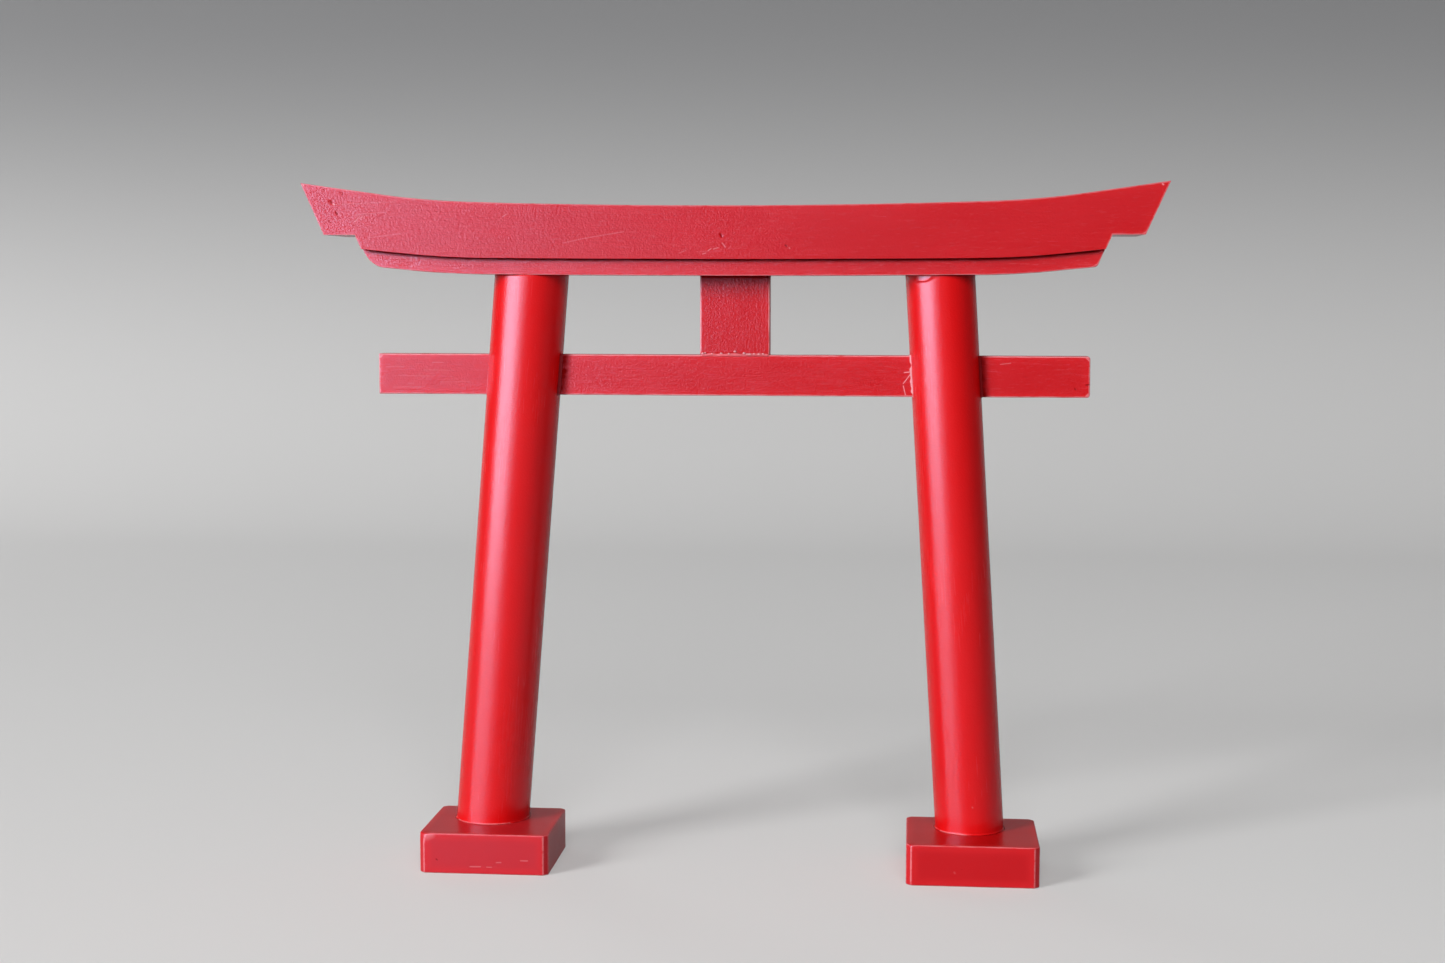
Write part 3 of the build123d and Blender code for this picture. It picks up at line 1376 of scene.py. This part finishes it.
@dataclass
class Strut:
    """The gakuzuka, the short flat strut between the tie beam and the lintel.

    A crumb's values are its place along X, its height over the strut's foot and its radius, in millimetres.
    """

    edge_round: float = 0.0004
    pitch: float = 0.0014
    margin: float = 0.001
    wave: Unevenness = Unevenness(0.00006, 0.008, 2.3)
    crumbs: tuple[Point, ...] = (
        (-9.8, 0.5, 0.4), (-8.9, 0.7, 0.3), (-6.5, 0.4, 0.3), (-3.3, 0.5, 0.38),
        (-0.6, 0.4, 0.34), (1.5, 1.2, 0.4), (4.8, 0.6, 0.46), (6.0, 0.3, 0.36),
        (6.8, 0.2, 0.42), (8.3, 0.4, 0.34), (10.0, 0.3, 0.4), (11.5, 0.4, 0.34),
    )
    crumb_divisions: int = 2
    crumb_stretch: Point = (1.3, 0.7, 0.9)
    crumb_wave: Unevenness = Unevenness(0.00008, 0.0003, 4.2)
    seam_proud: float = 0.00022
    seam_rise: float = 0.0005
    seam_round_share: float = 0.45
    seam_wave: float = 0.0013
    seam_seed: float = 7.7
    low: Vector = field(init=False)
    high: Vector = field(init=False)

    def __post_init__(self) -> None:
        """Reads the strut's box."""
        self.low, self.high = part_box("gakuzuka")

    def build(self, paint: Paint) -> bpy.types.Object:
        """Builds the strut.

        Args:
            paint: Its finish.

        Returns:
            The finished strut.
        """
        timber = Timber.board(self.low, self.high)
        margin = self.margin
        timber.divide(Axis.Z, self.pitch, self.low.z + margin, self.high.z - margin)
        timber.divide(Axis.X, self.pitch, self.low.x + margin, self.high.x - margin)
        timber.divide(Axis.Y, self.pitch, self.low.y + margin, self.high.y - margin)
        upright = [edge for edge in timber.sharp_edges() if runs_along(edge, Axis.Z)]
        timber.ease(upright, self.edge_round)
        timber.roughen(self.wave)
        return timber.finish("gakuzuka_strut", paint.material(), "strip_paint", "gakuzuka")

    def seam(self, paint: bpy.types.Material) -> bpy.types.Object:
        """Builds the uneven bead of paint that closes the joint under the strut's front.

        Args:
            paint: Its material.

        Returns:
            The finished bead.
        """
        rise = self.seam_rise
        low = Vector((self.low.x + self.edge_round, self.low.y - self.seam_proud, self.low.z - rise))
        high = Vector((self.high.x - self.edge_round, self.low.y + rise, self.low.z + rise))
        timber = Timber.board(low, high)
        timber.divide(Axis.X, rise, low.x + rise, high.x - rise)
        timber.ease(timber.sharp_edges(), rise * self.seam_round_share, rubbed=False)
        timber.roughen(Unevenness(self.seam_proud, self.seam_wave, self.seam_seed))
        return timber.finish("gakuzuka_foot_seam", paint, "strip_paint")

    def crumb_row(self, paint: bpy.types.Material) -> bpy.types.Object:
        """Builds the crumbs of dried paint along the strut's foot.

        Args:
            paint: Their material.

        Returns:
            The crumbs, as one piece.
        """
        timber = Timber()
        for x, rise, radius in self.crumbs:
            place = Vector((x * MILLIMETRE, self.low.y - self.seam_proud, self.low.z + rise * MILLIMETRE))
            ball = bmesh.ops.create_icosphere(
                timber.mesh, subdivisions=self.crumb_divisions, radius=radius * MILLIMETRE
            )["verts"]
            bmesh.ops.scale(timber.mesh, vec=self.crumb_stretch, verts=ball)
            bmesh.ops.translate(timber.mesh, vec=place, verts=ball)
        timber.roughen(self.crumb_wave)
        return timber.finish("gakuzuka_paint_crumbs", paint, "strip_paint")


PURE_WHITE: Colour = (1.0, 1.0, 1.0)
COOL_WHITE: Colour = (0.93, 0.98, 1.08)


@dataclass(frozen=True)
class Softbox:
    """A large soft lamp that faces the gate."""

    name: str
    azimuth: float
    elevation: float
    distance: float
    width: float
    height: float
    watts: float
    use: LampUse
    colour: Colour = PURE_WHITE

    def switch_on(self, target: Vector) -> bpy.types.Object:
        """Adds the lamp.

        Args:
            target: The point that it faces.

        Returns:
            The lamp.
        """
        data = bpy.data.lights.new(self.name, "AREA")
        data.shape = "RECTANGLE"
        data.size = self.width
        data.size_y = self.height
        data.energy = self.watts
        data.color = self.colour
        lamp = bpy.data.objects.new(self.name, data)
        bpy.context.scene.collection.objects.link(lamp)
        level = cos(self.elevation)
        away = Vector((sin(self.azimuth) * level, -cos(self.azimuth) * level, sin(self.elevation)))
        lamp.location = target + away * self.distance
        lamp.rotation_euler = away.to_track_quat("Z", "Y").to_euler()
        lamp.visible_camera = False
        lamp.visible_diffuse = self.use.shades
        lamp.visible_glossy = self.use.mirrored
        return lamp


@dataclass
class Studio:
    """The pale sweep that the gate stands on, the lamps and the camera."""

    photo_width: float = 1445.0
    focal_pixels: float = 2120.0
    sensor: float = 36.0
    camera_place: Point = (0.063507, -0.74184, 0.20583)
    camera_turn: float = radians(5.087)
    camera_dip: float = radians(5.2135)
    camera_roll: float = radians(0.0946)
    sweep_reach: float = 40.0
    wall_y: float = 1.6
    wall_radius: float = 0.7
    wall_height: float = 3.0
    bend_steps: int = 24
    floor_colour: Colour = (0.74, 0.735, 0.73)
    wall_colour: Colour = (0.27, 0.27, 0.275)
    wall_fade: Range = (0.02, 0.55)
    mottle_contrast: float = 0.2
    mottle_shade: float = 0.97
    bounce_colour: Colour = (0.3, 0.3, 0.3)
    glow_share: float = 0.35
    polish_share: float = 0.85
    polish_roughness: float = 0.12
    polish_ior: float = 1.5
    world_colour: Colour = (0.07, 0.072, 0.075)
    lamps: tuple[Softbox, ...] = (
        Softbox("key", radians(-47), radians(19), 3.0, 0.95, 1.7, 90.0, LampUse.SHADING),
        Softbox("front", radians(6), radians(28), 1.8, 0.9, 1.0, 18.0, LampUse.SHADING),
        Softbox("back", radians(-150), radians(12), 2.0, 1.4, 1.2, 16.0, LampUse.SHADING),
        Softbox("window", radians(-48), radians(8), 1.0, 0.84, 0.45, 16.0, LampUse.GLOSS, COOL_WHITE),
        Softbox("window_side", radians(-16.5), radians(8), 1.2, 0.28, 0.5, 1.75, LampUse.GLOSS, COOL_WHITE),
        Softbox("glint", radians(-14), radians(32), 1.8, 0.9, 0.4, 5.5, LampUse.GLOSS),
    )

    def floor_material(self) -> bpy.types.Material:
        """Pale paper with a faint mottle, darker up the wall, and polished where gloss mirrors it.

        Returns:
            The material.
        """
        shader = Shader("studio_sweep")
        place = shader.node("ShaderNodeTexCoord").outputs["Object"]
        mottle = shader.noise(place, detail=3.0) * self.mottle_contrast + MIDDLE
        dark = tuple(channel * self.mottle_shade for channel in self.floor_colour) + (1.0,)
        pale = shader.blend(mottle, dark, (*self.floor_colour, 1.0))
        height = Value(shader, shader.node("ShaderNodeSeparateXYZ", {}, {"Vector": place}).outputs["Z"])
        pale = shader.blend(height.eased(*self.wall_fade), pale, (*self.wall_colour, 1.0))
        path = shader.node("ShaderNodeLightPath").outputs
        glossy = Value(shader, path["Is Glossy Ray"])
        seen = Value(shader, path["Is Camera Ray"]).largest(glossy)
        seen = seen.largest(Value(shader, path["Is Transmission Ray"]))
        colour = shader.blend(seen, (*self.bounce_colour, 1.0), pale)
        paper = shader.node("ShaderNodeBsdfDiffuse", {}, {"Color": colour}).outputs["BSDF"]
        glow = shader.node("ShaderNodeEmission", {}, {"Color": pale}).outputs["Emission"]
        matt = shader.node("ShaderNodeMixShader", {}, {0: seen * self.glow_share, 1: paper, 2: glow})
        polished = shader.node(
            "ShaderNodeBsdfPrincipled",
            {},
            {"Base Color": pale, "Roughness": self.polish_roughness, "IOR": self.polish_ior},
        )
        surface = shader.node(
            "ShaderNodeMixShader",
            {},
            {0: glossy * self.polish_share, 1: matt.outputs["Shader"], 2: polished.outputs["BSDF"]},
        )
        shader.node("ShaderNodeOutputMaterial", {}, {"Surface": surface.outputs["Shader"]})
        return shader.material

    def build_sweep(self) -> bpy.types.Object:
        """Builds the floor, which curves up into a wall behind the gate.

        Returns:
            The sweep.
        """
        mesh = bmesh.new()
        reach = self.sweep_reach
        left = mesh.verts.new((-reach, -reach, 0.0))
        right = mesh.verts.new((reach, -reach, 0.0))
        front = mesh.edges.new((left, right))
        run = bmesh.ops.extrude_edge_only(mesh, edges=[front])["geom"]
        ends = [item for item in run if isinstance(item, bmesh.types.BMVert)]
        bmesh.ops.translate(mesh, vec=(0.0, reach + self.wall_y - self.wall_radius, 0.0), verts=ends)
        bend = [item for item in run if not isinstance(item, bmesh.types.BMFace)]
        centre = (0.0, self.wall_y - self.wall_radius, self.wall_radius)
        last = bmesh.ops.spin(
            mesh, geom=bend, cent=centre, axis=(1.0, 0.0, 0.0), angle=pi / 2.0, steps=self.bend_steps
        )["geom_last"]
        top = [item for item in last if isinstance(item, bmesh.types.BMEdge)]
        rise = bmesh.ops.extrude_edge_only(mesh, edges=top)["geom"]
        lifted = [item for item in rise if isinstance(item, bmesh.types.BMVert)]
        bmesh.ops.translate(mesh, vec=(0.0, 0.0, self.wall_height), verts=lifted)
        bmesh.ops.remove_doubles(mesh, verts=mesh.verts, dist=MERGE_DISTANCE)
        bmesh.ops.recalc_face_normals(mesh, faces=mesh.faces)
        data = bpy.data.meshes.new("studio_sweep")
        mesh.to_mesh(data)
        mesh.free()
        data.materials.append(self.floor_material())
        data.shade_smooth()
        sweep = bpy.data.objects.new("studio_sweep", data)
        bpy.context.scene.collection.objects.link(sweep)
        return sweep

    def place_camera(self) -> bpy.types.Object:
        """Sets the camera where the picture was taken from.

        Returns:
            The camera.
        """
        data = bpy.data.cameras.new("camera")
        data.sensor_fit = "HORIZONTAL"
        data.sensor_width = self.sensor
        data.lens = self.focal_pixels / self.photo_width * self.sensor
        camera = bpy.data.objects.new("camera", data)
        bpy.context.scene.collection.objects.link(camera)
        turn = Matrix.Rotation(self.camera_turn, 4, "Z")
        dip = Matrix.Rotation(pi / 2.0 - self.camera_dip, 4, "X")
        roll = Matrix.Rotation(self.camera_roll, 4, "Z")
        camera.matrix_world = Matrix.Translation(self.camera_place) @ turn @ dip @ roll
        bpy.context.scene.camera = camera
        return camera

    def light_world(self) -> None:
        """Gives the room a dim even light."""
        world = bpy.data.worlds.new("studio")
        world.use_nodes = True
        world.node_tree.nodes["Background"].inputs["Color"].default_value = (*self.world_colour, 1.0)
        bpy.context.scene.world = world

    def build(self) -> None:
        """Builds the sweep and sets up the lamps, the world and the camera."""
        self.build_sweep()
        low, high = CAD_BOX
        for lamp in self.lamps:
            lamp.switch_on((low + high) / 2.0)
        self.light_world()
        self.place_camera()
        bpy.context.scene.view_settings.view_transform = "Standard"


POST_RED: Colour = (0.65, 0.003, 0.0035)
BRIGHT_RED: Colour = (0.485, 0.003, 0.0036)
# The left block's red, with more green and blue than the right block's: a painted sheen that makes its front
# look pinker.
PAINTED_SHEEN_RED: Colour = (0.485, 0.013, 0.018)
PALE_RED: Colour = (0.68, 0.26, 0.28)
SEAM_RED: Colour = (0.58, 0.09, 0.1)
# Near-black red for the fillets right of the posts: painted shade in the crease, where the posts' shadows
# fall.
CREASE_SHADE_RED: Colour = (0.2, 0.002, 0.0025)
KASAGI_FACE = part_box("kasagi")[0].y
NUKI_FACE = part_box("nuki")[0].y
BLOCK_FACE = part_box("left_foot_block")[0].y
RIGHT_POST_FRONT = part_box("right_post")[0].y

KASAGI_MARKS = (
    *front_marks(MarkKind.HAIRLINE, KASAGI_FACE, 0.0003, (
        (-138.6, 234.7, -115.8, 235.6), (-130.6, 231.1, -119.6, 232.0), (-126.4, 223.1, -114.8, 224.5),
        (-57.2, 221.3, -50.5, 222.8), (-50.5, 222.8, -36.1, 225.2), (-16.9, 217.8, -14.5, 218.8),
    )),
    *front_marks(MarkKind.SCRATCH, KASAGI_FACE, 0.0003, (
        (-130.9, 228.7, -129.4, 230.5), (-129.1, 229.9, -127.6, 230.5), (-78.5, 230.4, -77.3, 231.2),
        (-8.7, 217.5, -7.7, 217.8), (-6.8, 218.7, -5.9, 219.3), (-5.0, 219.2, -3.4, 219.7),
        (-1.9, 221.3, -0.9, 219.9), (21.2, 219.7, 21.4, 219.4),
    )),
    *front_marks(MarkKind.NICK, KASAGI_FACE, 0.0005, (
        (-139.4, 235.8, -139.0, 235.3), (-137.4, 231.9, -137.1, 231.4),
        (20.0, 220.5, 20.3, 220.3), (-2.5, 224.4, -2.1, 223.5),
    )),
    *front_marks(MarkKind.PIT, KASAGI_FACE, 0.0004, (
        (-135.9, 238.9, -135.5, 238.7), (-134.9, 238.7, -135.1, 238.0), (-140.0, 228.9, -139.7, 228.6),
        (-141.8, 239.8, -141.5, 239.6),
    )),
    *front_marks(MarkKind.CHIP, KASAGI_FACE, 0.0004, (
        (-138.5, 234.8, -138.2, 234.7), (147.3, 241.1, 147.6, 240.9),
    )),
)
KASAGI_DENTS = (
    Dent((-0.1396, KASAGI_FACE, 0.2359), (-0.1388, KASAGI_FACE, 0.2351), 0.0006, 0.00012),
    Dent((-0.1376, KASAGI_FACE, 0.2321), (-0.1363, KASAGI_FACE, 0.2304), 0.0004, 0.00007),
    Dent((-0.0048, KASAGI_FACE, 0.2190), (-0.0034, KASAGI_FACE, 0.2194), 0.0003, 0.00006),
    Dent((-0.0016, KASAGI_FACE, 0.2208), (-0.0010, KASAGI_FACE, 0.2198), 0.0003, 0.00007),
    Dent((-0.0025, KASAGI_FACE, 0.2244), (-0.0021, KASAGI_FACE, 0.2235), 0.0004, 0.0001),
)
NUKI_MARKS = (
    *front_marks(MarkKind.SCRATCH, NUKI_FACE, 0.0002, (
        (-106.7, 179.3, -102.7, 179.3), (94.2, 179.5, 97.9, 180.0),
    )),
    *front_marks(MarkKind.CHIP, NUKI_FACE, 0.00025, (
        (61.0, 176.5, 62.8, 176.7), (63.1, 175.9, 60.7, 172.7), (60.7, 171.8, 61.4, 168.8),
    )),
    *front_marks(MarkKind.HAIRLINE, NUKI_FACE, 0.0003, (
        (-115.6, 171.8, -113.5, 171.8), (-123.5, 177.6, -117.0, 177.8), (-121.0, 170.4, -111.0, 170.6),
        (-119.0, 174.6, -108.0, 174.4), (-110.0, 176.6, -99.0, 176.5), (-104.0, 172.4, -93.5, 172.6),
    )),
    # Painted shadows: dark bands on the bar's front just right of each post, where the post's shadow falls.
    *front_marks(MarkKind.PAINTED_SHADOW, NUKI_FACE, 0.0038, (
        (-60.6, 168.0, -59.5, 182.4), (88.0, 168.0, 87.1, 182.4),
    )),
    *front_marks(MarkKind.NICK, NUKI_FACE, 0.0004, (
        (120.1, 171.2, 120.4, 170.9), (124.0, 172.4, 125.0, 172.7),
    )),
)
# Painted shade: a darker band across the strut's top, where the lintel's shadow falls.
STRUT_MARKS = front_marks(MarkKind.PAINTED_SOFT_SHADE, NUKI_FACE, 0.0045, ((-10.8, 210.1, 13.8, 210.1),))
LEFT_BLOCK_MARKS = (
    *front_marks(MarkKind.SCRATCH, BLOCK_FACE, 0.0003, (
        (-89.7, 2.7, -86.0, 2.8), (-83.8, 2.7, -82.1, 2.7),
        (-80.3, 4.4, -78.7, 4.5), (-71.7, 5.3, -69.2, 5.3),
    )),
    *front_marks(MarkKind.NICK, BLOCK_FACE, 0.0004, ((-101.8, 5.1, -101.5, 4.8),)),
    *front_marks(MarkKind.SANDED, BLOCK_FACE, 0.0021, ((-105.0, 13.3, -103.6, 13.9),)),
)
RIGHT_BLOCK_MARKS = front_marks(MarkKind.HAIRLINE, BLOCK_FACE, 0.0005, ((79.9, 5.1, 80.1, 4.8),))
RIGHT_POST_MARKS = front_marks(
    MarkKind.SCRATCH, RIGHT_POST_FRONT, 0.0004, ((86.2, 24.5, 86.4, 24.3), (93.3, 18.6, 93.6, 18.4))
)

BLOCK_PAINT = Paint(
    "block_paint", Axis.X, colour=BRIGHT_RED, roughness=0.33, stroke_depth=0.000006, stroke_gloss=0.02,
    fibre_depth=0.000006, speck_depth=0.00001, pore_share=0.05, shade_range=0.02, thin=0.6, fleck_share=0.0,
)
# The left block's paint carries the painted sheen.
LEFT_BLOCK_PAINT = replace(BLOCK_PAINT, name="left_block_paint", colour=PAINTED_SHEEN_RED, marks=LEFT_BLOCK_MARKS)
RIGHT_BLOCK_PAINT = replace(BLOCK_PAINT, name="right_block_paint", marks=RIGHT_BLOCK_MARKS)
POST_PAINT = Paint(
    "post_paint", Axis.Z, colour=POST_RED, gloss_tint=(0.08, 0.95, 1.2), roughness=0.255,
    stroke_depth=0.00001, stroke_gloss=0.08, fibre_depth=0.000007, speck_size=0.0006, speck_depth=0.00006,
    pore_share=0.0, shade_range=0.05, thin=0.0, wear=0.5, rub_width=0.00045, fleck_share=0.0,
)
LEFT_POST_PAINT = replace(POST_PAINT, name="left_post_paint")
RIGHT_POST_PAINT = replace(POST_PAINT, name="right_post_paint", marks=RIGHT_POST_MARKS)
NUKI_PAINT = Paint(
    "nuki_paint", Axis.X, colour=BRIGHT_RED, stroke_width=0.0009, stroke_depth=0.00008, stroke_gloss=0.18,
    fibre_depth=0.00006, speck_size=0.0006, speck_depth=0.00008, shade_range=0.06, thin=0.35, wear=0.78,
    rub_width=0.0009, fleck_share=0.05, marks=NUKI_MARKS,
)
STRUT_PAINT = Paint(
    "gakuzuka_paint", Axis.Z, stroke_depth=0.00004, fibre_length=0.002, fibre_depth=0.00003,
    speck_size=0.0006, speck_depth=0.0001, shade_range=0.04, wear=0.85, rub_width=0.001, fleck_share=0.1,
    marks=STRUT_MARKS,
)
SHIMAKI_PAINT = Paint(
    "shimaki_paint", Axis.X, gloss_tint=(0.48, 0.98, 1.33), roughness=0.2, stroke_width=0.0008,
    stroke_depth=0.0001, stroke_gloss=0.1, fibre_depth=0.00009, speck_size=0.0006, speck_depth=0.00008,
    pore_share=0.1, thin=0.4, fleck_share=0.08,
)
KASAGI_PAINT = Paint(
    "kasagi_paint", Axis.X, roughness=0.235, stroke_width=0.0008, stroke_depth=0.00006, stroke_gloss=0.13,
    fibre_depth=0.00005, speck_size=0.0006, speck_depth=0.00009, wear=0.4, rub_width=0.0008,
    fleck_share=0.04, marks=KASAGI_MARKS,
)
JOINT_PAINT = Paint("joint_paint", Axis.Z)
CREASE_SHADE_PAINT = Paint("crease_shade_paint", Axis.Z, colour=CREASE_SHADE_RED, fleck_share=0.0)
PALE_PAINT = Paint("pale_paint", Axis.Z, colour=PALE_RED, roughness=0.35, shade_range=0.25)
SEAM_PAINT = Paint("seam_paint", Axis.X, colour=SEAM_RED, roughness=0.3, shade_range=0.4)


def main() -> None:
    """Builds the gate from the ground up, then the studio round it."""
    logging.basicConfig(level=logging.INFO, format="%(name)s: %(message)s")
    left_post = Post("left", foot_x=-0.0866, head_x=-0.0711)
    right_post = Post("right", foot_x=0.0856, head_x=0.0732, bead_span=(-0.84, -0.1), lip=PaintLip())

    FootBlock("left", sanded_reach=0.0042, sanded_depth=0.0007, seed=5.5).build(LEFT_BLOCK_PAINT)
    FootBlock("right", sanded_reach=0.003, sanded_depth=0.0003, seed=6.7).build(RIGHT_BLOCK_PAINT)
    left_post.build(replace(LEFT_POST_PAINT, lean=asin(left_post.slope)))
    right_post.build(replace(RIGHT_POST_PAINT, lean=asin(right_post.slope)))

    beam = TieBeam()
    beam.build(NUKI_PAINT)
    joint_paint = JOINT_PAINT.material()
    crease_shade_paint = CREASE_SHADE_PAINT.material()
    pale_paint = PALE_PAINT.material()
    seam_paint = SEAM_PAINT.material()
    beam.collar(left_post, proud=0.0003, rim=0.0002, paint=joint_paint)
    beam.collar(right_post, proud=0.0006, rim=0.0003, paint=pale_paint)
    # The fillets right of the posts take the near-black red: painted shade in the crease.
    beam.fillet(left_post, radius=0.0014, paint=crease_shade_paint)
    beam.fillet(right_post, radius=0.0012, paint=crease_shade_paint)

    strut = Strut()
    strut.build(STRUT_PAINT)
    strut.seam(seam_paint)
    strut.crumb_row(pale_paint)

    lintel = Lintel()
    # The strip's marks are the painted shadow under the beam's overhang.
    lintel.shimaki(replace(SHIMAKI_PAINT, marks=lintel.painted_seam_shadow()))
    lintel.kasagi(KASAGI_PAINT, KASAGI_DENTS)

    Studio().build()


if __name__ == "__main__":
    main()
